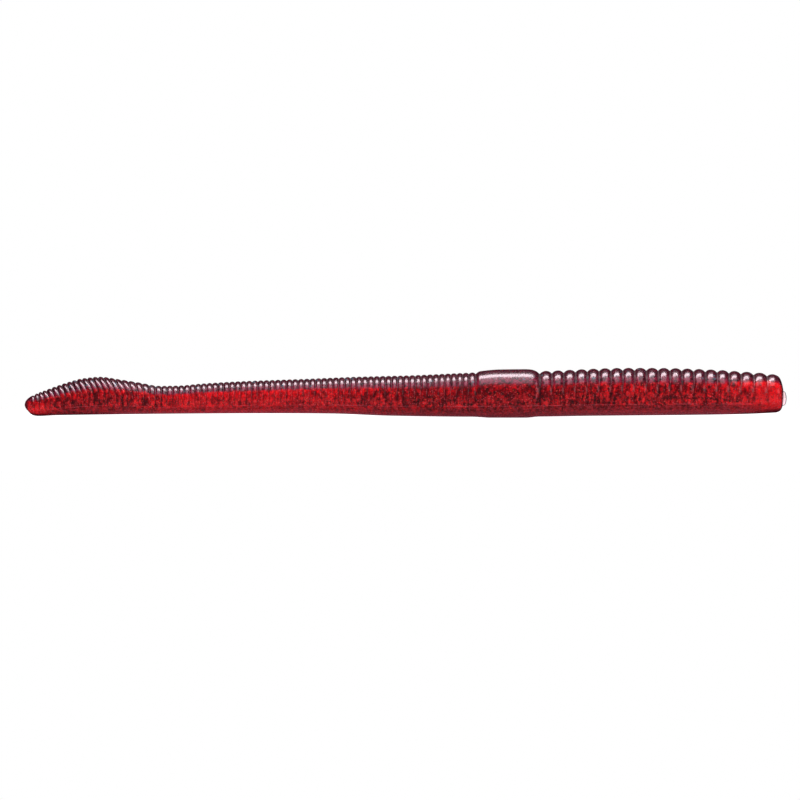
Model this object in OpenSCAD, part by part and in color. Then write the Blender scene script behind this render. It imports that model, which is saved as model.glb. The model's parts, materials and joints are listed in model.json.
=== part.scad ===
// Straight-tailed ringed soft worm, a fishing lure moulded from flexible PVC.
// The nose points along +X, the tail along -X, and the belly lies flat on z = 0.
// The lure bends all along its length. It is cut at its ring grooves into short
// links, which turn on each other by turns sideways (about Z) and up or down (about Y).

/* [Overall] */
// Length from the tail tip to the blunt nose
worm_length = 165; // [160:0.5:172]
// Height of the body's centre over the flat belly, as a part of the body's radius
belly_cut = 0.92; // [0.91:0.01:0.95]
// Angle below the horizontal at which the rings end and the smooth belly begins
parting_angle = 28; // [18:1:32]
// Length of the stub left on the nose where the runner was cut off
gate_length = 0.6; // [0.3:0.1:1]

/* [Fine rings of the tail and rear body] */
// Distance from the tail tip to the first fine ring
fine_start = 1.58; // [1.4:0.02:1.8]
// Spacing of the fine rings at the tail
fine_pitch = 1.18; // [1.16:0.005:1.19]
// Growth of the spacing from each fine ring to the next
fine_growth = 0.0016; // [0.001:0.0001:0.0018]
// Rounding radius of a ring's rim, as a part of the ring spacing, on the fine rings
fine_round = 0.6; // [0.56:0.01:0.7]

/* [Collar] */
// Height of the smooth collar
collar_height = 10.6; // [10.4:0.1:10.9]
// Distance from the tail tip to the collar's rear edge
collar_start = 98.3; // [98:0.1:98.6]
// Length of the collar
collar_length = 13.3; // [13:0.1:13.5]
// Rounding radius of the collar's edges
collar_edge = 1.1; // [0.7:0.1:1.5]

/* [Coarse rings of the front body] */
// Distance from the tail tip to the first coarse ring
coarse_start = 113.3; // [113.2:0.1:113.6]
// Spacing of the coarse rings
coarse_pitch = 2.565; // [2.55:0.005:2.58]
// Extra spacing that stretches the last rings before the nose
coarse_stretch = 0.09; // [0.05:0.01:0.1]
// Rounding radius of a ring's rim, as a part of the ring spacing, on the coarse rings
coarse_round = 0.75; // [0.65:0.01:0.85]

/* [Bending] */
// Largest bend at each groove, each way, in degrees
bend = 12; // [6:1:12]
// Play between the links at the centre of each groove
groove_gap = 0.1; // [0.08:0.01:0.14]
// Play round each knuckle in its seat
knuckle_gap = 0.05; // [0.04:0.01:0.08]
// Radius of a knuckle, as a part of the body's radius there
knuckle_size = 0.3; // [0.24:0.01:0.34]
// Half length of a knuckle, as a part of the body's radius there
knuckle_reach = 0.6; // [0.5:0.01:0.65]

/* [Hidden] */
$fn = 64;
TAIL = "firebrick";
REAR = "brown";
BAND = "darkred";
FRONT = "firebrick";

// Rings: the fine ones run from the tail to the collar, the coarse ones from there on.
FINE_RINGS = 78;
COARSE_RINGS = 20;
RINGS_PER_REAR_LINK = 4;
RINGS_PER_FRONT_LINK = 2;
REAR_LINKS = 19;            // tail tip, four bulb links and fourteen rear links
FRONT_LINKS = 8;
COLLAR_LINK = REAR_LINKS;
NOSE_LINK = COLLAR_LINK + FRONT_LINKS + 1;

// Height of the ring crests over the belly, at distances from the tail tip.
crest_heights = [
    [1.6, 4.4], [3.3, 5.1], [5, 5.9], [7.7, 6.8], [10, 7.5], [12.5, 8.05], [16.4, 8.35],
    [20.7, 7.75], [25, 6.95], [29.4, 6.25], [34, 6.2], [38, 6.5], [47, 7.05], [60, 7.5],
    [82, 8.8], [97.2, 9.7], [113.3, 10.05], [118, 10.25], [131, 10.4], [144, 10.15],
    [149.4, 9.9], [159.8, 8.95], [163.1, 8.4],
];
tip_radius = 1.8;
tip_slope = 1.1;            // length over which the belly deepens behind the tip
nose_radius = 1.9;
nose_slope = 2;             // length over which the belly narrows to the nose
gate_radius = 1.2;
gate_z = 2.7;
groove_height = 9.4;        // height of the groove floors at both edges of the collar
sector_overlap = 1;         // degrees by which the ringed and the smooth sectors overlap

function crest(s) = lookup(s, crest_heights);
// Ring i is counted from 0 at the tail, and from 0 again at the collar.
function fine_s(i) = fine_start + fine_pitch * i + fine_growth * i * i / 2;
function coarse_s(i) = coarse_start + coarse_pitch * i + coarse_stretch * pow(max(0, i - 16), 2);
function fine_groove(i) = (fine_s(i - 1) + fine_s(i)) / 2;
function coarse_groove(i) = (coarse_s(i - 1) + coarse_s(i)) / 2;

// Hinge k lies in the groove between link k - 1 and link k.
function hinge_s(k) = k <= COLLAR_LINK
    ? fine_groove(RINGS_PER_REAR_LINK * k)
    : coarse_groove(1 + RINGS_PER_FRONT_LINK * (k - COLLAR_LINK - 1));
function first_s(k) = k == 0 ? 0 : hinge_s(k);
function last_s(k) = k == NOSE_LINK ? worm_length : hinge_s(k + 1);
// The origin is halfway between the tail tip and the end of the stub.
function along(s) = s - (worm_length + gate_length) / 2;

// The discs of one link share an axis, which lies this high over the belly.
function axis_share() = belly_cut / (1 + belly_cut);
function axis_z(k) = axis_share()
    * (k == COLLAR_LINK ? collar_height : crest((first_s(k) + last_s(k)) / 2));
function body_radius(s) = crest(s) * (1 - axis_share());
function belly_radius(k) = body_radius((first_s(k) + last_s(k)) / 2);
function hinge_z(k) = (axis_z(k - 1) + axis_z(k)) / 2;
function turns_sideways(k) = k % 2 == 1;

function fine_rings_of(k) = [
    for (i = [RINGS_PER_REAR_LINK * k : RINGS_PER_REAR_LINK * (k + 1) - 1]) if (i < FINE_RINGS) i
];
function first_coarse(k) = k == COLLAR_LINK ? 0 : 1 + RINGS_PER_FRONT_LINK * (k - COLLAR_LINK - 1);
// The last coarse ring is the rounded edge of the nose itself.
function last_coarse(k) = k == NOSE_LINK
    ? COARSE_RINGS - 2
    : RINGS_PER_FRONT_LINK * (k - COLLAR_LINK);
function coarse_rings_of(k) = k < COLLAR_LINK
    ? []
    : [for (i = [first_coarse(k) : last_coarse(k)]) i];

// ---- Half outlines: the first coordinate is a radius, the second runs along the body ----

// One ring, as a disc with a rounded rim.
module ring_outline(s, crest_radius, pitch, round_share) {
    rim = pitch * round_share;
    translate([crest_radius - rim, s]) circle(r = rim);
    translate([0, s - pitch / 2]) square([crest_radius - rim / 2, pitch]);
}

module rings_outline(k) {
    for (i = fine_rings_of(k))
        ring_outline(fine_s(i), crest(fine_s(i)) - axis_z(k), fine_s(i + 1) - fine_s(i),
            fine_round);
    for (i = coarse_rings_of(k))
        ring_outline(coarse_s(i), crest(coarse_s(i)) - axis_z(k), coarse_pitch, coarse_round);
}

// The smooth belly under the parting line, narrowed towards the two ends of the worm.
module belly_outline(k) {
    radius = belly_radius(k);
    rear = k == 0 ? [tip_radius, tip_radius + tip_slope] : [first_s(k), first_s(k)];
    fore = k == NOSE_LINK
        ? [worm_length - nose_radius, worm_length - nose_radius - nose_slope]
        : [last_s(k), last_s(k)];
    end_radius = k == 0 ? tip_radius : k == NOSE_LINK ? nose_end(k) : radius;
    polygon([
        [0, rear[0]], [end_radius, rear[0]], [radius, rear[1]],
        [radius, fore[1]], [end_radius, fore[0]], [0, fore[0]],
    ]);
}

// A band with a straight middle and rounded edges, and the groove floor at each side of it.
module collar_outline() {
    radius = collar_height - axis_z(COLLAR_LINK);
    for (s = [collar_start + collar_edge, collar_start + collar_length - collar_edge])
        translate([radius - collar_edge, s]) circle(r = collar_edge);
    translate([0, collar_start + collar_edge])
        square([radius, collar_length - 2 * collar_edge]);
    translate([0, collar_start - fine_pitch / 2])
        square([groove_height - axis_z(COLLAR_LINK), coarse_start - collar_start + fine_pitch / 2]);
}

module tip_outline() {
    translate([0, tip_radius]) circle(r = tip_radius);
}

// The rounded edge of the nose takes the place of the last coarse ring.
function nose_end(k) = crest(worm_length - nose_radius) - axis_z(k);
module nose_outline() {
    edge_s = worm_length - nose_radius;
    flat = nose_end(NOSE_LINK) - nose_radius;
    translate([flat, edge_s]) circle(r = nose_radius);
    translate([0, edge_s - coarse_pitch / 2]) square([flat + nose_radius / 2, coarse_pitch / 2]);
    translate([0, edge_s]) square([flat, nose_radius]);
}

// The room that one link may fill: its ends are shallow cones that leave a V in each groove,
// a little wider than the bend. The ends of the worm itself have no cone.
module link_room(k) {
    reach = 2 * collar_height;
    slope = tan(bend / 2 + 0.3) * reach;
    inset = groove_gap / 2;
    rear = k == 0 ? [0, 0] : [inset, inset + slope];
    fore = k == NOSE_LINK ? [0, 0] : [-inset, -inset - slope];
    middle = (first_s(k) + last_s(k)) / 2;
    intersection() {
        polygon([[0, first_s(k) + rear[0]], [reach, first_s(k) + rear[1]],
            [reach, middle + reach], [0, middle + reach]]);
        polygon([[0, middle - reach], [reach, middle - reach],
            [reach, last_s(k) + fore[1]], [0, last_s(k) + fore[0]]]);
    }
}

// ---- Solids ----

// Spins a half outline about the link's axis, through a sector centred on the belly or the
// back: share is the sector's angle, and from is its start, counted from straight down.
module spin_link(k, from = 0, share = 360) {
    reach = 2 * collar_height;
    translate([along(0), 0, axis_z(k)]) rotate([0, 90, 0])
        rotate_extrude(angle = share, start = from) intersection() {
            translate([0, first_s(k) - reach]) square([reach, last_s(k) - first_s(k) + 2 * reach]);
            link_room(k);
            children();
        }
}

// A round pin on the axis of hinge k, grown by some play for its seat.
module knuckle(k, play) {
    radius = body_radius(hinge_s(k));
    translate([along(hinge_s(k)), 0, hinge_z(k)])
        rotate([turns_sideways(k) ? 0 : 90, 0, 0])
            cylinder(r = radius * knuckle_size + play, h = 2 * (radius * knuckle_reach + play),
                center = true);
}

// The stub on the parting line of the nose.
module gate() {
    translate([along(worm_length - nose_radius), 0, gate_z]) rotate([0, 90, 0])
        cylinder(r = gate_radius, h = nose_radius + gate_length);
}

// The skin of one link: rings over the back and flanks, a smooth flat belly below.
module link_skin(k) {
    reach = 2 * collar_height;
    belly_sector = 180 - 2 * parting_angle;
    intersection() {
        union() {
            spin_link(k, belly_sector / 2, 360 - belly_sector) rings_outline(k);
            spin_link(k, -belly_sector / 2 - sector_overlap, belly_sector + 2 * sector_overlap)
                belly_outline(k);
            if (k == 0) spin_link(k) tip_outline();
            if (k == COLLAR_LINK) spin_link(k) collar_outline();
            if (k == NOSE_LINK) spin_link(k) nose_outline();
        }
        translate([along(first_s(k)) - reach, -reach, 0])
            cube([last_s(k) - first_s(k) + 2 * reach, 2 * reach, reach]);
    }
}

// A link has a knuckle at its rear and a seat for the next link's knuckle at its front.
module link(k, tint) {
    color(tint) difference() {
        union() {
            link_skin(k);
            if (k > 0) knuckle(k, 0);
            if (k == NOSE_LINK) gate();
        }
        if (k < NOSE_LINK) knuckle(k + 1, knuckle_gap);
    }
}

module tail_tip() link(0, TAIL);
module tail_bulb(n) link(n, TAIL);
module rear_rings(n) link(4 + n, REAR);
module collar() link(COLLAR_LINK, BAND);
module front_rings(n) link(COLLAR_LINK + n, FRONT);
module nose() link(NOSE_LINK, FRONT);

tail_tip();
tail_bulb(1);  // tail_bulb_1
tail_bulb(2);  // tail_bulb_2
tail_bulb(3);  // tail_bulb_3
tail_bulb(4);  // tail_bulb_4
rear_rings(1);  // rear_rings_01
rear_rings(2);  // rear_rings_02
rear_rings(3);  // rear_rings_03
rear_rings(4);  // rear_rings_04
rear_rings(5);  // rear_rings_05
rear_rings(6);  // rear_rings_06
rear_rings(7);  // rear_rings_07
rear_rings(8);  // rear_rings_08
rear_rings(9);  // rear_rings_09
rear_rings(10);  // rear_rings_10
rear_rings(11);  // rear_rings_11
rear_rings(12);  // rear_rings_12
rear_rings(13);  // rear_rings_13
rear_rings(14);  // rear_rings_14
collar();
front_rings(1);  // front_rings_1
front_rings(2);  // front_rings_2
front_rings(3);  // front_rings_3
front_rings(4);  // front_rings_4
front_rings(5);  // front_rings_5
front_rings(6);  // front_rings_6
front_rings(7);  // front_rings_7
front_rings(8);  // front_rings_8
nose();
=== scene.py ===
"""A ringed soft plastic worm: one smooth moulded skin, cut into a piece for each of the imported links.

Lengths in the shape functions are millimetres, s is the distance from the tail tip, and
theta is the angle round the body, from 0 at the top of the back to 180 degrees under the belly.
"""

import json
import math

import bpy
import numpy as np
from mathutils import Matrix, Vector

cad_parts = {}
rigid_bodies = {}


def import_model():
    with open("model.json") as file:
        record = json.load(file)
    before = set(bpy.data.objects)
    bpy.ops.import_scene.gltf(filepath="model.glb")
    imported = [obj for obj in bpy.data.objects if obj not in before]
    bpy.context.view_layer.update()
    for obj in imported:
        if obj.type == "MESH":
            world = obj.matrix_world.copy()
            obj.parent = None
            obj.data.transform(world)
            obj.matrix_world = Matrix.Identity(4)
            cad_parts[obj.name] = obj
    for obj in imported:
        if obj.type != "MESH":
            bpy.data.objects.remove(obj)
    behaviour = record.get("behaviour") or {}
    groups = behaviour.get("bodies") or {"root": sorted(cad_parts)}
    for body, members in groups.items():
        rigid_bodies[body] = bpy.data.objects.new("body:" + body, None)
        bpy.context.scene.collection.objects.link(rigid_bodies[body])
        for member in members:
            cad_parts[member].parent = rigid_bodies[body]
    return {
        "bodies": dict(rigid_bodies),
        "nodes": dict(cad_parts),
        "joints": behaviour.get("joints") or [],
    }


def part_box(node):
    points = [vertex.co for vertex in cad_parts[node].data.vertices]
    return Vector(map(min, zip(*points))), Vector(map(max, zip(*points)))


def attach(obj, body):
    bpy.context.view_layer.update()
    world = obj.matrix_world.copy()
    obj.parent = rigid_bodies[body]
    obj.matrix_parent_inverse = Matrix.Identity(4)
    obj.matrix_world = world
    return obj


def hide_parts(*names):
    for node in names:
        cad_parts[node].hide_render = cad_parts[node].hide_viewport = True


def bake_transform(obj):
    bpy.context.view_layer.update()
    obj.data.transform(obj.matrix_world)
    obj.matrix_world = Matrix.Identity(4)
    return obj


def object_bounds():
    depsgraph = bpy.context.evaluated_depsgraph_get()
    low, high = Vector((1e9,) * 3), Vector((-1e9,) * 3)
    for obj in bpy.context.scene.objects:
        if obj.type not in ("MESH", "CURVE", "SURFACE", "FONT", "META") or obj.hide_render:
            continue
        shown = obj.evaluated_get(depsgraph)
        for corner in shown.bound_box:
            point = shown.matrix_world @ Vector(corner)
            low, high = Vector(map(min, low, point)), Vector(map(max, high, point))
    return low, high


MM = 0.001

# ---- The worm's shape -------------------------------------------------------------------

WORM_LENGTH = 165.0
# Height of the ring crests along the back, and of the belly, over the collar's underside.
BACK = [
    (0, 4.6), (1.6, 4.9), (3.3, 5.65), (10, 8.05), (12.5, 8.65), (16.4, 9.0), (20.7, 8.42),
    (25.1, 7.7), (29.4, 7.0), (33.8, 7.08), (38, 7.46), (46.8, 8.0), (60, 8.5), (73, 9.02),
    (84, 9.32), (97.6, 9.92), (112, 10.24), (131, 10.94), (138, 10.92), (149.4, 10.57),
    (154.4, 10.24), (162.6, 9.55), (163.6, 9.2), (164.7, 7.9), (165, 7.2),
]
BELLY = [
    (0, 1.2), (0.7, 1.0), (1.3, 0.66), (3, 0.37), (7, 0.55), (55, 0.96), (66, 0.9), (80, 0.42),
    (98, 0.2), (112, 0.24), (121, 0.38), (151, 0.68), (163.2, 1.12), (164.6, 1.7), (165, 2.1),
]
TIP_ROUND = 2.2             # length over which the tail tip closes
NOSE_ROUND = 1.0            # length over which the blunt nose closes
NOSE_POWER = 2.2            # how square that rounding is: 2 is an ellipse

FINE_RINGS = 78
FINE_START = 1.58
FINE_PITCH = 1.18
FINE_GROWTH = 0.0016
COARSE_RINGS = 20
COARSE_START = 113.3
COARSE_PITCH = 2.565
COARSE_STRETCH = 0.09
STRETCH_FROM = 16
FINE_DEPTH = 0.3
COARSE_DEPTH = 0.58
RING_ARC = 0.9              # half a ring's width, as a share of the radius of its outline
GROOVE_ROUND = 0.10         # rounded part of a groove, as a share of half a ring
LEAN = 0.28                 # how far the bulb's rings lean to the tail with their height
LEAN_POWER = 1.3
LEAN_SPAN = (1.0, 6.0, 21.0, 30.0)

REAR_NECK = 98.0            # where the collar meets the fine rings
FRONT_NECK = 111.95         # and the coarse rings
REAR_SHOULDER = (1.1, 0.4)  # length and depth of the collar's shoulder at each neck
FRONT_SHOULDER = (2.2, 0.72)
COLLAR_RISE = [             # how far the collar's back stands over the line of the rings
    (97, 0), (98.2, 0.08), (98.9, 0.24), (103.3, 0.54), (108.5, 0.5), (111, 0.3), (112.6, 0),
]
COLLAR_DROP = 0.22          # how far its belly stands under theirs
DROP_SPAN = (REAR_NECK - 1, REAR_NECK + 4, FRONT_NECK - 3, FRONT_NECK)

# The next three are shares of the worm's height there.
CENTRE_SHARE = 0.48         # height of the section's centre
ROUND_SHARE = 0.52          # radius of the section
PARTING = 0.235             # height of the parting line
PARTING_ANGLE = math.acos((PARTING - CENTRE_SHARE) / ROUND_SHARE)
FLASH = (0.07, 1.2)         # height in mm and half width in degrees of the flash on it
FLANK_FADE = 0.32           # how much shallower the grooves are down the flanks
FLANK_SPAN = (0.7, 1.5)     # and between which angles they lose that
RING_FADE = (-0.14, 0.03)   # angles from the parting line between which the grooves run out
BELLY_SOFTNESS = 0.035      # rounding between flank and flat belly, as a share of the height

OVER_POINTS = 26            # points on half a section over the parting line's flash
UNDER_POINTS = 12           # and under it
FINE_ROWS = 10              # rows of points on a fine ring
COARSE_ROWS = 18            # on a coarse ring
COLLAR_ROWS = 64            # and on the collar
EVEN_SHARE = 0.35           # share of a ring's rows that are evenly spaced


def fine_s(i):
    return FINE_START + FINE_PITCH * i + FINE_GROWTH * i * i / 2


def coarse_s(i):
    return COARSE_START + COARSE_PITCH * i + COARSE_STRETCH * max(0, i - STRETCH_FROM) ** 2


def smoothstep(low, high, x):
    t = np.clip((x - low) / (high - low), 0, 1)
    return t * t * (3 - 2 * t)


def smooth_curve(knots, x):
    """A smooth curve through the knots, with no overshoot between them."""
    k = np.array(knots, float)
    step = np.diff(k[:, 0])
    slope = np.diff(k[:, 1]) / step
    tangent = np.zeros(len(k))
    tangent[0], tangent[-1] = slope[0], slope[-1]
    same_way = slope[:-1] * slope[1:] > 0
    harmonic = 2 * slope[:-1] * slope[1:] / np.where(same_way, slope[:-1] + slope[1:], 1)
    tangent[1:-1] = np.where(same_way, harmonic, 0)
    i = np.clip(np.searchsorted(k[:, 0], x, side="right") - 1, 0, len(k) - 2)
    t = np.clip((x - k[i, 0]) / step[i], 0, 1)
    h = step[i]
    return (
        (1 + 2 * t) * (1 - t) ** 2 * k[i, 1]
        + t * (1 - t) ** 2 * h * tangent[i]
        + t * t * (3 - 2 * t) * k[i + 1, 1]
        + t * t * (t - 1) * h * tangent[i + 1]
    )


FINE_GROOVES = [(fine_s(i - 1) + fine_s(i)) / 2 for i in range(1, FINE_RINGS)]
COARSE_GROOVES = [(coarse_s(i - 1) + coarse_s(i)) / 2 for i in range(1, COARSE_RINGS)]
# Ring edges along the whole worm, from the tail tip to the nose.
EDGES = np.array([0.0, *FINE_GROOVES, REAR_NECK, FRONT_NECK, *COARSE_GROOVES, WORM_LENGTH])
COLLAR_EDGE = len(FINE_GROOVES) + 1


def mesh_rows():
    """Distances from the tail tip at which the skin has a row of points, closer together in the grooves."""
    rows = []
    last = len(EDGES) - 2
    for k, (a, b) in enumerate(zip(EDGES[:-1], EDGES[1:])):
        if k == COLLAR_EDGE:
            count = COLLAR_ROWS
        elif k < COLLAR_EDGE:
            count = FINE_ROWS
        else:
            count = COARSE_ROWS
        t = np.linspace(0, 1, 2 * count if k in (0, last) else count, endpoint=False)
        if k == 0:
            t = 1 - np.cos(t * math.pi / 2)
        elif k == last:
            t = np.sin(t * math.pi / 2)
        else:
            t = EVEN_SHARE * t + (1 - EVEN_SHARE) * (0.5 - 0.5 * np.cos(t * math.pi))
        rows.extend(a + (b - a) * t)
    return np.array(rows + [WORM_LENGTH])


def ring_arc(u):
    """How deep a ring's outline lies at u, from 0 on its crest to 1 on the rounded floor of its groove."""
    arc = RING_ARC
    turn = 1 - GROOVE_ROUND
    u = np.clip(np.abs(u), 0, 1)
    rise = 1 - np.sqrt(1 - (arc * np.minimum(u, turn)) ** 2)
    slope = arc * arc * turn / math.sqrt(1 - (arc * turn) ** 2)
    past = np.maximum(u - turn, 0)
    full = 1 - math.sqrt(1 - (arc * turn) ** 2) + slope * GROOVE_ROUND / 2
    return (rise + slope * (past - past * past / (2 * GROOVE_ROUND))) / full


def relief(s):
    """(groove depth in mm, share of it at this place) at each distance s."""
    last = len(EDGES) - 2
    k = np.clip(np.searchsorted(EDGES, s, side="right") - 1, 0, last)
    a, b = EDGES[k], EDGES[k + 1]
    crest = (a + b) / 2
    crest = np.where(k == 0, FINE_START, np.where(k == last, coarse_s(COARSE_RINGS - 1), crest))
    u = np.where(s < crest, (crest - s) / (crest - a + 1e-9), (s - crest) / (b - crest))
    u = np.where((k == 0) & (s < crest) | (k == last) & (s > crest), 0, u)
    depth = np.where(k < COLLAR_EDGE, FINE_DEPTH, COARSE_DEPTH)
    depth = np.where((k == COLLAR_EDGE - 1) & (s > crest), REAR_SHOULDER[1], depth)
    depth = np.where((k == COLLAR_EDGE + 1) & (s < crest), FRONT_SHOULDER[1], depth)
    for (length, neck), from_neck in ((REAR_SHOULDER, s - REAR_NECK), (FRONT_SHOULDER, FRONT_NECK - s)):
        here = (k == COLLAR_EDGE) & (from_neck < length)
        u = np.where(here, 1 - from_neck / length, u)
        depth = np.where(here, neck, depth)
    middle = (s > REAR_NECK + REAR_SHOULDER[0]) & (s < FRONT_NECK - FRONT_SHOULDER[0])
    u = np.where(middle, 0, u)
    return depth, ring_arc(u)


def close_tip(s):
    """The section's size where the tail tip and the blunt nose close, as a share of its full size."""
    tail = 1 - np.clip(1 - s / TIP_ROUND, 0, 1) ** 2
    nose = 1 - np.clip(1 - (WORM_LENGTH - s) / NOSE_ROUND, 0, 1) ** NOSE_POWER
    return np.sqrt(tail) * nose ** (1 / NOSE_POWER)


def skin(s, theta):
    """The skin's points and what its material reads: a row for each s and a column for each theta."""
    lean = LEAN * smoothstep(*LEAN_SPAN[:2], s) * (1 - smoothstep(*LEAN_SPAN[2:], s))
    belly = smooth_curve(BELLY, s)
    top_lean = lean * (ROUND_SHARE * (smooth_curve(BACK, s) - belly)) ** LEAN_POWER
    collar = smoothstep(*DROP_SPAN[:2], s) * (1 - smoothstep(*DROP_SPAN[2:], s))
    belly = belly - COLLAR_DROP * collar
    height = smooth_curve(BACK, s - top_lean) + smooth_curve(COLLAR_RISE, s) - belly
    depth, groove = relief(s)
    close = close_tip(s)
    ringed = 1 - smoothstep(PARTING_ANGLE + RING_FADE[0], PARTING_ANGLE + RING_FADE[1], theta)
    ringed = ringed * (1 - FLANK_FADE * smoothstep(*FLANK_SPAN, theta))
    radius = ROUND_SHARE * height[:, None] - (depth * groove)[:, None] * ringed[None, :]
    flash = FLASH[0] * np.exp(-(((theta - PARTING_ANGLE) / math.radians(FLASH[1])) ** 2))
    radius = (radius + flash[None, :]) * close[:, None]
    y = radius * np.sin(theta)[None, :]
    # Over a softly flattened belly: z is the height over it, and low lifts as the ends close.
    low = (CENTRE_SHARE * height * (1 - close))[:, None]
    soft = BELLY_SOFTNESS * height[:, None] * np.maximum(close, 0.01)[:, None]
    z = radius * np.cos(theta)[None, :] + CENTRE_SHARE * height[:, None]
    floor_of_it = math.log1p(math.exp((CENTRE_SHARE - ROUND_SHARE) / BELLY_SOFTNESS))
    z = low + soft * (np.logaddexp(0, (z - low) / soft) - floor_of_it)
    over_centre = np.clip(z - CENTRE_SHARE * height[:, None], 0, None)
    x = s[:, None] - lean[:, None] * over_centre**LEAN_POWER
    columns = {
        "height_share": np.clip(z / height[:, None], 0, 1),
        "section_share": np.clip((z - low) / (height * np.maximum(close, 0.01))[:, None], 0, 1),
        "groove_share": groove[:, None] * ringed[None, :],
        "from_tail_mm": np.repeat(s[:, None], len(theta), axis=1),
    }
    return x, y, z + belly[:, None], columns


def round_angles():
    """Angles round the half section, closer together at the parting line."""
    fine = math.radians(FLASH[1])
    ridge = PARTING_ANGLE + fine * np.array([-2.4, -1.2, -0.5, 0, 0.5, 1.2, 2.4])
    over = np.linspace(0, ridge[0], OVER_POINTS, endpoint=False)
    under = np.linspace(ridge[-1], math.pi, UNDER_POINTS)[1:]
    return np.concatenate([over, ridge, under])


# ---- The frame --------------------------------------------------------------------------

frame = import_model()
cad_low, cad_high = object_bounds()
X_TAIL = cad_low.x / MM     # the tail tip's place in the frame


def links_in_order():
    """The bodies from the tail to the nose, and the x of the hinge between each two."""
    middle = {n: (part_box(n)[0].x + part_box(n)[1].x) / 2 for n in frame["nodes"]}
    order = sorted(frame["bodies"], key=lambda body: middle[body])
    hinges = {frozenset((j["parent"], j["child"])): j["pos_m"] for j in frame["joints"]}
    return order, [hinges[frozenset(pair)] for pair in zip(order[:-1], order[1:])]


# ---- Pieces -----------------------------------------------------------------------------

def set_attribute(mesh, name, kind, values):
    layer = mesh.attributes.new(name, kind, "POINT")
    layer.data.foreach_set("vector" if kind == "FLOAT_VECTOR" else "value", values.astype(np.float32).ravel())


def grid_piece(name, x, y, z, columns, material, caps=()):
    """A mesh of rows of points that close round the body, capped at the rows named in caps."""
    count, around = x.shape
    points = np.stack([x, y, z], axis=-1).reshape(-1, 3)
    i = np.arange(count - 1)[:, None] * around
    j = np.arange(around)[None, :]
    k = (j + 1) % around
    faces = np.stack([i + around + j, i + around + k, i + k, i + j], axis=-1).reshape(-1, 4).tolist()
    for row in caps:
        ring = [row * around + c for c in range(around)]
        faces.append(ring if row == 0 else ring[::-1])
    mesh = bpy.data.meshes.new(name)
    mesh.from_pydata(((points + (X_TAIL, 0, 0)) * MM).tolist(), [], faces)
    set_attribute(mesh, "rest_mm", "FLOAT_VECTOR", points)
    for key, values in columns.items():
        set_attribute(mesh, key, "FLOAT", values)
    mesh.polygons.foreach_set("use_smooth", [True] * len(mesh.polygons))
    mesh.materials.append(material)
    mesh.update()
    piece = bpy.data.objects.new(name, mesh)
    bpy.context.scene.collection.objects.link(piece)
    return piece


def skin_piece(name, rows, material):
    """One slice of the skin, closed where it holds an end of the worm."""
    half = round_angles()
    theta = np.concatenate([half, 2 * math.pi - half[-2:0:-1]])
    x, y, z, columns = skin(rows, np.minimum(theta, 2 * math.pi - theta))
    y = np.where(theta[None, :] > math.pi, -y, y)
    caps = [row for row, end in ((0, 0.0), (len(rows) - 1, WORM_LENGTH)) if rows[row] == end]
    return grid_piece(name, x, y, z, columns, material, caps)


def seams(order, hinges):
    """Where the skin is cut: the middle groove of each link, and both necks of the collar."""
    hinge_s = [pos[0] / MM - X_TAIL for pos in hinges]
    middles = [(a + b) / 2 for a, b in zip(hinge_s[:-1], hinge_s[1:])]
    cuts = [float(EDGES[np.argmin(abs(EDGES - m))]) for m in middles]
    collar = order.index("collar")
    cuts[collar - 1 : collar] = [REAR_NECK, FRONT_NECK]
    return hinge_s, cuts, collar


def build_skin(material):
    order, hinges = links_in_order()
    hinge_s, cuts, collar = seams(order, hinges)
    rows = mesh_rows()
    bounds = [0.0, *cuts, WORM_LENGTH]
    for n, (low, high) in enumerate(zip(bounds[:-1], bounds[1:])):
        inside = rows[(rows > low - 1e-6) & (rows < high + 1e-6)]
        piece = skin_piece(f"skin_{order[n]}", inside, material)
        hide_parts(order[n])
        if n == collar:
            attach(piece, "collar")
            continue
        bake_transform(piece)


# ---- Material ---------------------------------------------------------------------------

PLUM = (0.055, 0.006, 0.014, 1)
PLUM_DEEP = (0.028, 0.003, 0.007, 1)
PLUM_THIN = (0.190, 0.011, 0.036, 1)
RED = (0.46, 0.002, 0.006, 1)
RED_BRIGHT = (0.86, 0.005, 0.010, 1)
RED_DEEP = (0.115, 0.0015, 0.004, 1)
RED_GLOW = (1.0, 0.005, 0.008, 1)
# Belly colours: painted shade with a faint sheen reflected from the floor, a darker fleck, and painted light
# from the floor near the ground.
BELLY_SHADE_AND_SHEEN = (0.34, 0.032, 0.046, 1)
BELLY_DARK = (0.10, 0.014, 0.014, 1)
BELLY_FLOOR_LIGHT = (0.62, 0.090, 0.125, 1)
BELLY_EDGE_LIGHT = (1.0, 0.22, 0.30, 1)
# Pale colour of the thin flash, also used for painted highlights along it and at the collar's neck.
FLASH_AND_SHEEN_PALE = (0.56, 0.090, 0.120, 1)
SEAM_WIDTH = 0.012          # half the width of the pale line on the parting line, as a share of the height
FLAKE_DARK = (0.020, 0.007, 0.007, 1)
FLAKE_TEAL = (0.06, 0.12, 0.15, 1)
FLAKE_GLINT_ORANGE = (0.95, 0.10, 0.05, 1)
FLAKE_GLINT_PINK = (0.80, 0.10, 0.13, 1)


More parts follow.
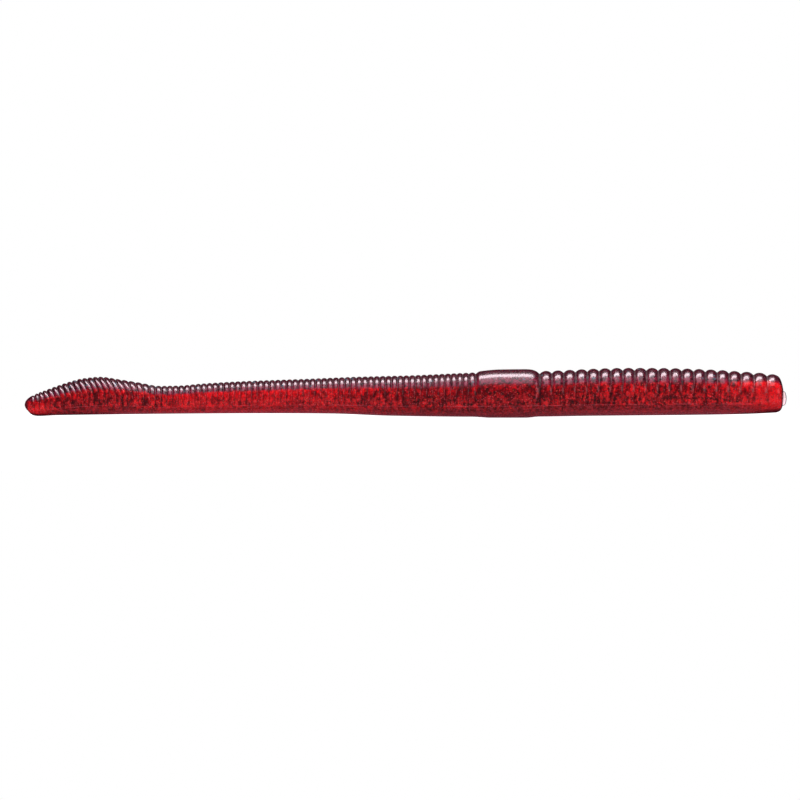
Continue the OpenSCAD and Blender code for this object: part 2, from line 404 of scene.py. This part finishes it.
class Nodes:
    """Short names for making and linking the nodes of one material."""

    def __init__(self, tree):
        self.tree = tree

    def add(self, kind, **settings):
        node = self.tree.nodes.new(kind)
        for key, value in settings.items():
            setattr(node, key, value)
        return node

    def put(self, socket, value):
        if isinstance(value, bpy.types.NodeSocket):
            self.tree.links.new(value, socket)
        else:
            socket.default_value = value

    def attribute(self, name):
        node = self.add("ShaderNodeAttribute", attribute_name=name)
        return node.outputs["Vector" if name == "rest_mm" else "Fac"]

    def math(self, operation, a, b=0.0, c=0.0):
        node = self.add("ShaderNodeMath", operation=operation)
        for socket, value in zip(node.inputs, (a, b, c)):
            self.put(socket, value)
        return node.outputs[0]

    def ramp(self, value, low, high, out_low=0.0, out_high=1.0):
        node = self.add("ShaderNodeMapRange", interpolation_type="SMOOTHSTEP")
        for name, item in (("Value", value), ("From Min", low), ("From Max", high)):
            self.put(node.inputs[name], item)
        node.inputs["To Min"].default_value = out_low
        node.inputs["To Max"].default_value = out_high
        return node.outputs[0]

    def mix(self, share, a, b):
        node = self.add("ShaderNodeMix", data_type="RGBA")
        self.put(node.inputs["Factor"], share)
        self.put([s for s in node.inputs if s.name == "A" and s.type == "RGBA"][0], a)
        self.put([s for s in node.inputs if s.name == "B" and s.type == "RGBA"][0], b)
        return [s for s in node.outputs if s.type == "RGBA"][0]

    def scaled(self, vector, by):
        node = self.add("ShaderNodeVectorMath", operation="MULTIPLY")
        self.put(node.inputs[0], vector)
        node.inputs[1].default_value = by
        return node.outputs[0]

    def noise(self, vector, scale, detail=2.0, rough=0.5):
        node = self.add("ShaderNodeTexNoise")
        self.put(node.inputs["Vector"], vector)
        node.inputs["Scale"].default_value = scale
        node.inputs["Detail"].default_value = detail
        node.inputs["Roughness"].default_value = rough
        return node.outputs["Fac"]

    def cells(self, vector, scale, offset):
        """(distance to the nearest flake's middle, that flake's random number)"""
        moved = self.add("ShaderNodeVectorMath", operation="ADD")
        self.put(moved.inputs[0], vector)
        moved.inputs[1].default_value = (offset, 2 * offset, 3 * offset)
        node = self.add("ShaderNodeTexVoronoi")
        self.put(node.inputs["Vector"], moved.outputs[0])
        node.inputs["Scale"].default_value = scale
        split = self.add("ShaderNodeSeparateColor")
        self.put(split.inputs[0], node.outputs["Color"])
        return node.outputs["Distance"], split.outputs[0]

    def flakes(self, vector, scale, offset, size, share):
        """1 inside the flakes of one kind: a share of the cells, each with a spot of that size."""
        distance, number = self.cells(vector, scale, offset)
        spot = self.ramp(distance, size, size * 0.55)
        chosen = self.math("LESS_THAN", number, share)
        return self.math("MULTIPLY", spot, chosen)


def plastisol():
    """Translucent red plastisol with a plum back, flakes inside and a wet gloss."""
    material = bpy.data.materials.new("worm_plastisol")
    material.use_nodes = True
    n = Nodes(material.node_tree)
    shader = material.node_tree.nodes["Principled BSDF"]
    rest = n.attribute("rest_mm")
    height = n.attribute("height_share")
    section = n.attribute("section_share")
    groove = n.attribute("groove_share")
    s = n.attribute("from_tail_mm")
    upright = n.scaled(rest, (1.5, 0.5, 0.45))

    # Painted glow: the red is painted brighter where the worm is thin and light would shine through it: tail
    # tip, nose, and the stretch behind the bulb.
    tail_glow = n.math("MULTIPLY", n.ramp(s, 8.0, 2.5), n.ramp(height, 0.62, 0.34))
    nose_glow = n.ramp(s, 149.0, 163.0, 0.0, 0.75)
    thin = n.math("MULTIPLY", n.ramp(s, 24.0, 36.0), n.ramp(s, 86.0, 50.0))
    light = n.math("MAXIMUM", n.math("MAXIMUM", tail_glow, nose_glow), n.math("MULTIPLY", thin, 0.55))
    ends = n.math("MAXIMUM", tail_glow, n.ramp(s, 156.0, 164.0))

    # Clouds and upright streaks in the red, with a fine grain.
    streaks = n.math("MULTIPLY", n.noise(upright, 1.1, 3.0), 0.6)
    clouds = n.math("ADD", n.noise(rest, 1.0, 4.0, 0.7), streaks)
    # The painted glow also lifts the clouds towards the bright red.
    clouds = n.math("ADD", clouds, n.math("MULTIPLY", light, 0.12))
    red = n.mix(n.ramp(clouds, 0.81, 0.93), RED, RED_BRIGHT)
    red = n.mix(n.ramp(clouds, 0.81, 0.72), red, RED_DEEP)
    grain = n.noise(rest, 3.4, 2.0, 0.7)
    red = n.mix(n.ramp(grain, 0.5, 0.38, 0.0, 0.6), red, RED_DEEP)
    # Painted shade: the red is painted darkest where the worm is thick and little light gets through, from
    # behind the collar to the front rings, more so higher up.
    thick = n.math("MULTIPLY", n.ramp(s, 72.0, 92.0), n.ramp(s, 138.0, 112.0))
    red = n.mix(n.math("MULTIPLY", thick, n.ramp(height, 0.25, 0.5, 0.12, 0.42)), red, RED_DEEP)
    # Painted glow: brighter red where light shines through, and a glowing red towards both ends.
    red = n.mix(n.math("MULTIPLY", light, 0.25), red, RED_BRIGHT)
    red = n.mix(n.math("MULTIPLY", ends, 0.3), red, RED_GLOW)

    # Dark patches, specks and clumps of flake, fainter where the glow is painted, and orange and pink flakes
    # painted bright as glints.
    flaky = n.math("SUBTRACT", 1.0, n.math("MULTIPLY", light, 0.5))
    blotches = n.ramp(n.noise(rest, 0.5, 2.0, 0.6), 0.5, 0.58, 0.0, 0.45)
    patches = n.math("MAXIMUM", blotches, n.ramp(n.noise(rest, 1.1, 4.0, 0.75), 0.55, 0.64))
    red = n.mix(n.math("MULTIPLY", patches, n.math("MULTIPLY", flaky, 0.75)), red, RED_DEEP)
    specks = n.flakes(rest, 2.0, 3.1, 0.4, 0.3)
    red = n.mix(n.math("MULTIPLY", specks, n.math("MULTIPLY", flaky, 0.8)), red, FLAKE_DARK)
    clumps = n.flakes(rest, 1.2, 21.3, 0.62, 0.3)
    red = n.mix(n.math("MULTIPLY", clumps, n.math("MULTIPLY_ADD", thick, 0.4, 0.35)), red, FLAKE_DARK)
    # Painted glints: orange and pink specks, painted bright as flakes catching the light.
    orange_glints = n.flakes(rest, 2.1, 8.7, 0.32, 0.14)
    red = n.mix(n.math("MULTIPLY", orange_glints, 0.6), red, FLAKE_GLINT_ORANGE)
    pink_glints = n.flakes(rest, 2.6, 11.9, 0.38, 0.32)
    red = n.mix(n.math("MULTIPLY", pink_glints, n.math("MULTIPLY_ADD", tail_glow, 0.3, 0.5)), red, FLAKE_GLINT_PINK)

    # The belly under the parting line is flecked, and painted duller and greyer, as shade with a faint sheen
    # reflected from the floor; close to the ground it is painted pale, as light from the floor.
    ragged = n.math("MULTIPLY_ADD", n.noise(rest, 1.6, 2.0), 0.16, -0.08)
    belly = n.ramp(n.math("ADD", height, ragged), PARTING + 0.02, PARTING - 0.06)
    belly = n.math("MULTIPLY", belly, n.ramp(s, 88.0, 100.0, 0.8, 1.0))
    fleck = n.ramp(n.noise(rest, 1.4, 3.0, 0.75), 0.45, 0.56)
    dull = n.mix(fleck, BELLY_SHADE_AND_SHEEN, BELLY_DARK)
    soles = n.math("MAXIMUM", n.ramp(s, 24.0, 12.0, 0.0, 0.6), n.ramp(s, 150.0, 163.0, 0.0, 0.6))
    # Painted light from the floor on the lowest part of the belly, less under the tail and nose.
    pale = n.math("MULTIPLY", n.ramp(height, 0.15, 0.04), n.math("MULTIPLY_ADD", soles, -1.0, 0.85))
    dull = n.mix(pale, dull, BELLY_FLOOR_LIGHT)
    red = n.mix(n.math("MULTIPLY", belly, n.math("MULTIPLY_ADD", ends, -0.35, 0.62)), red, dull)
    # Painted light along the very bottom edge.
    edge_light = n.math("MULTIPLY", n.ramp(height, 0.06, 0.01), n.math("SUBTRACT", 0.7, soles))
    red = n.mix(edge_light, red, BELLY_EDGE_LIGHT)
    # The parting line's flash: a pale line, partly the thin flash's own paler colour and partly a painted
    # highlight along its ridge.
    under_seam = n.ramp(height, PARTING - SEAM_WIDTH, PARTING)
    over_seam = n.ramp(height, PARTING + SEAM_WIDTH, PARTING)
    seam = n.math("MULTIPLY", under_seam, over_seam)
    seam = n.math("MULTIPLY", seam, n.ramp(n.noise(n.scaled(rest, (0.12, 0.0, 0.0)), 1.0), 0.4, 0.6))
    red = n.mix(n.math("MULTIPLY", seam, 0.55), red, FLASH_AND_SHEEN_PALE)

    # The plum back, with teal flakes and a wandering edge that climbs towards the nose.
    edge = n.math("MULTIPLY_ADD", n.noise(rest, 0.9, 2.0), 0.12, 0.625)
    edge = n.math("ADD", edge, n.ramp(s, 148.0, 162.0, 0.0, 0.1))
    back = n.ramp(n.math("SUBTRACT", height, edge), -0.04, 0.05)
    plum = n.mix(n.ramp(height, 0.74, 0.9), PLUM_THIN, PLUM)
    plum = n.mix(n.ramp(n.noise(rest, 1.3, 2.0), 0.42, 0.66), plum, PLUM_DEEP)
    teal = n.flakes(rest, 0.8, 5.3, 0.36, 0.16)
    plum = n.mix(n.math("MULTIPLY", teal, 0.7), plum, FLAKE_TEAL)
    colour = n.mix(back, red, plum)

    # Painted shade: a dark outline round the tail tip and the nose's end, and under both, standing for the
    # dark edge that refraction gives there.
    outline = n.math("MAXIMUM", n.ramp(s, 1.1, 0.4), n.ramp(s, WORM_LENGTH - 0.8, WORM_LENGTH - 0.35))
    outline = n.math("MAXIMUM", outline, n.math("MULTIPLY", n.ramp(section, 0.12, 0.05), ends))
    outline = n.math("MAXIMUM", outline, n.math("MULTIPLY", n.ramp(height, 0.05, 0.01), soles))
    colour = n.mix(n.math("MULTIPLY", outline, 0.88), colour, PLUM)

    # Painted shade: grooves are painted darker than crests, and made dull, because little light gets out of
    # them.
    lined = n.math("MAXIMUM", n.ramp(s, 60.0, 30.0, 0.36, 0.5), n.ramp(s, 148.0, 160.0, 0.3, 0.44))
    lined = n.math("MAXIMUM", lined, n.math("MULTIPLY", back, 0.62))
    groove_shade = n.math("MULTIPLY", n.ramp(groove, 0.3, 0.7), lined)
    colour = n.mix(groove_shade, colour, PLUM_DEEP)
    # The collar's front neck is a dark line of painted shade, with a broken painted highlight on the rim on
    # the collar's side of it.
    neck = n.math("ABSOLUTE", n.math("SUBTRACT", s, FRONT_NECK))
    over_parting = n.ramp(height, PARTING - 0.05, PARTING + 0.05)
    neck = n.math("MULTIPLY", n.ramp(neck, 0.42, 0.1, 0.0, 0.7), over_parting)
    colour = n.mix(neck, colour, PLUM_DEEP)
    rim = n.math("ABSOLUTE", n.math("SUBTRACT", s, FRONT_NECK - 0.75))
    on_flank = n.math("MULTIPLY", n.ramp(height, 0.3, 0.4), n.ramp(height, 0.8, 0.7))
    rim = n.math("MULTIPLY", n.ramp(rim, 0.22, 0.05), on_flank)
    rim = n.math("MULTIPLY", rim, n.ramp(n.noise(rest, 1.6, 2.0), 0.42, 0.56, 0.0, 0.6))
    colour = n.mix(rim, colour, FLASH_AND_SHEEN_PALE)
    gloss = n.ramp(n.noise(rest, 2.2, 2.0), 0.3, 0.7, 0.2, 0.3)
    dulling = n.math("MULTIPLY", n.ramp(groove, 0.55, 0.95), n.math("MULTIPLY_ADD", back, 0.3, 0.2))
    roughness = n.math("ADD", gloss, dulling)

    n.put(shader.inputs["Base Color"], colour)
    n.put(shader.inputs["Roughness"], roughness)
    shader.inputs["Subsurface Weight"].default_value = 0.12
    shader.inputs["Subsurface Radius"].default_value = (1.0, 0.12, 0.1)
    shader.inputs["Subsurface Scale"].default_value = 0.0006
    shader.inputs["IOR"].default_value = 1.5
    shader.inputs["Specular Tint"].default_value = (1.0, 0.9, 0.95, 1)
    shader.inputs["Coat Weight"].default_value = 0.15
    shader.inputs["Coat Roughness"].default_value = 0.1
    pits = n.flakes(rest, 1.7, 6.4, 0.3, 0.4)
    bumps = n.math("SUBTRACT", n.noise(rest, 2.6, 3.0, 0.6), n.math("MULTIPLY", pits, 0.9))
    bump = n.add("ShaderNodeBump")
    bump.inputs["Strength"].default_value = 0.3
    bump.inputs["Distance"].default_value = 0.00006
    n.put(bump.inputs["Height"], bumps)
    n.put(shader.inputs["Normal"], bump.outputs["Normal"])
    return material


def clear_film():
    """The nearly colourless film of plastisol left at the nose by the mould's gate."""
    material = bpy.data.materials.new("gate_film")
    material.use_nodes = True
    n = Nodes(material.node_tree)
    shader = material.node_tree.nodes["Principled BSDF"]
    rest = n.attribute("rest_mm")
    n.put(shader.inputs["Base Color"], n.mix(n.noise(rest, 2.0), (1.0, 0.62, 0.66, 1), (1.0, 0.86, 0.88, 1)))
    shader.inputs["Transmission Weight"].default_value = 1.0
    shader.inputs["IOR"].default_value = 1.07
    n.put(shader.inputs["Roughness"], n.ramp(n.noise(rest, 3.0), 0.3, 0.7, 0.04, 0.14))
    return material


def gate_film(material):
    """A low clear lens on the nose's end: half an ellipse turned round an axis along X."""
    centre_z = 4.2
    lens_radius = 1.55
    lens_height = 0.6
    buried = 0.5            # how far its rim goes on into the nose
    around = 40
    bend = np.radians([0.05, 15, 30, 45, 58, 70, 80, 90, 90])
    radius = lens_radius * np.sin(bend)
    out = lens_height * np.cos(bend) - np.where(np.arange(len(bend)) == len(bend) - 1, buried, 0)
    turn = np.linspace(0, 2 * math.pi, around, endpoint=False)
    x = np.repeat(WORM_LENGTH + out[:, None], around, axis=1)
    y = radius[:, None] * np.sin(turn)[None, :]
    z = centre_z + radius[:, None] * np.cos(turn)[None, :]
    piece = grid_piece("gate_film", x, y, z, {}, material, caps=(0, len(bend) - 1))
    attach(piece, "nose")


# ---- Floor, light and camera ------------------------------------------------------------

def floor():
    """A pale floor that turns into a white cove away from the worm, so that no horizon shows."""
    bpy.ops.mesh.primitive_plane_add(size=3.0)
    plane = bpy.context.active_object
    plane.name = "floor"
    plane.visible_glossy = False
    material = bpy.data.materials.new("pale_floor")
    material.use_nodes = True
    n = Nodes(material.node_tree)
    shader = material.node_tree.nodes["Principled BSDF"]
    shader.inputs["Base Color"].default_value = (0.6, 0.6, 0.6, 1)
    shader.inputs["Roughness"].default_value = 0.9
    away = n.add("ShaderNodeVectorMath", operation="LENGTH")
    n.put(away.inputs[0], n.add("ShaderNodeTexCoord").outputs["Object"])
    shader.inputs["Emission Color"].default_value = (1, 1, 1, 1)
    n.put(shader.inputs["Emission Strength"], n.ramp(away.outputs["Value"], 0.1, 0.5, 0.1, 1.0))
    plane.data.materials.append(material)


def area_light(name, place, aim, size, power):
    light = bpy.data.lights.new(name, "AREA")
    light.shape = "RECTANGLE"
    light.size, light.size_y = size
    light.energy = power
    light.color = (1.0, 0.9, 0.95)
    lamp = bpy.data.objects.new(name, light)
    lamp.location = place
    away = lamp.location.copy()
    away.x, away.y, away.z = (p - a for p, a in zip(place, aim))
    lamp.rotation_euler = away.to_track_quat("Z", "Y").to_euler()
    bpy.context.scene.collection.objects.link(lamp)


def light_the_stage():
    """A soft box overhead, dimmer ones above the near side and at the right, and a dim grey world.

    The world looks white to the camera, and darker still in reflections.
    """
    area_light("overhead", (0, 0.055, 0.42), (0, 0.05, 0), (0.4, 0.14), 3.1)
    area_light("near_side", (0, -0.22, 0.56), (0, 0, 0), (0.6, 0.3), 1.35)
    area_light("right_side", (0.5, -0.2, 0.16), (0, 0, 0), (0.3, 0.2), 0.25)
    world = bpy.data.worlds.new("studio")
    bpy.context.scene.world = world
    world.use_nodes = True
    n = Nodes(world.node_tree)
    background = world.node_tree.nodes["Background"]
    path = n.add("ShaderNodeLightPath").outputs
    lighting = n.mix(path["Is Glossy Ray"], (0.3, 0.3, 0.31, 1), (0.022, 0.011, 0.015, 1))
    seen = n.math("MAXIMUM", path["Is Camera Ray"], path["Is Transmission Ray"])
    n.put(background.inputs["Color"], n.mix(seen, lighting, (1, 1, 1, 1)))
    background.inputs["Strength"].default_value = 1.0


def camera():
    """A long lens at the worm's own height, level, looking along +Y."""
    distance = 2.0
    view_width = 0.1739
    data = bpy.data.cameras.new("camera")
    data.lens = data.sensor_width * distance / view_width
    data.clip_end = 10
    eye = bpy.data.objects.new("camera", data)
    eye.location = (-1.22 * MM, -distance, 3.85 * MM)
    eye.rotation_euler = (math.pi / 2, 0, 0)
    bpy.context.scene.collection.objects.link(eye)
    bpy.context.scene.camera = eye


bpy.context.scene.view_settings.view_transform = "Standard"
camera()
floor()
light_the_stage()
build_skin(plastisol())
gate_film(clear_film())
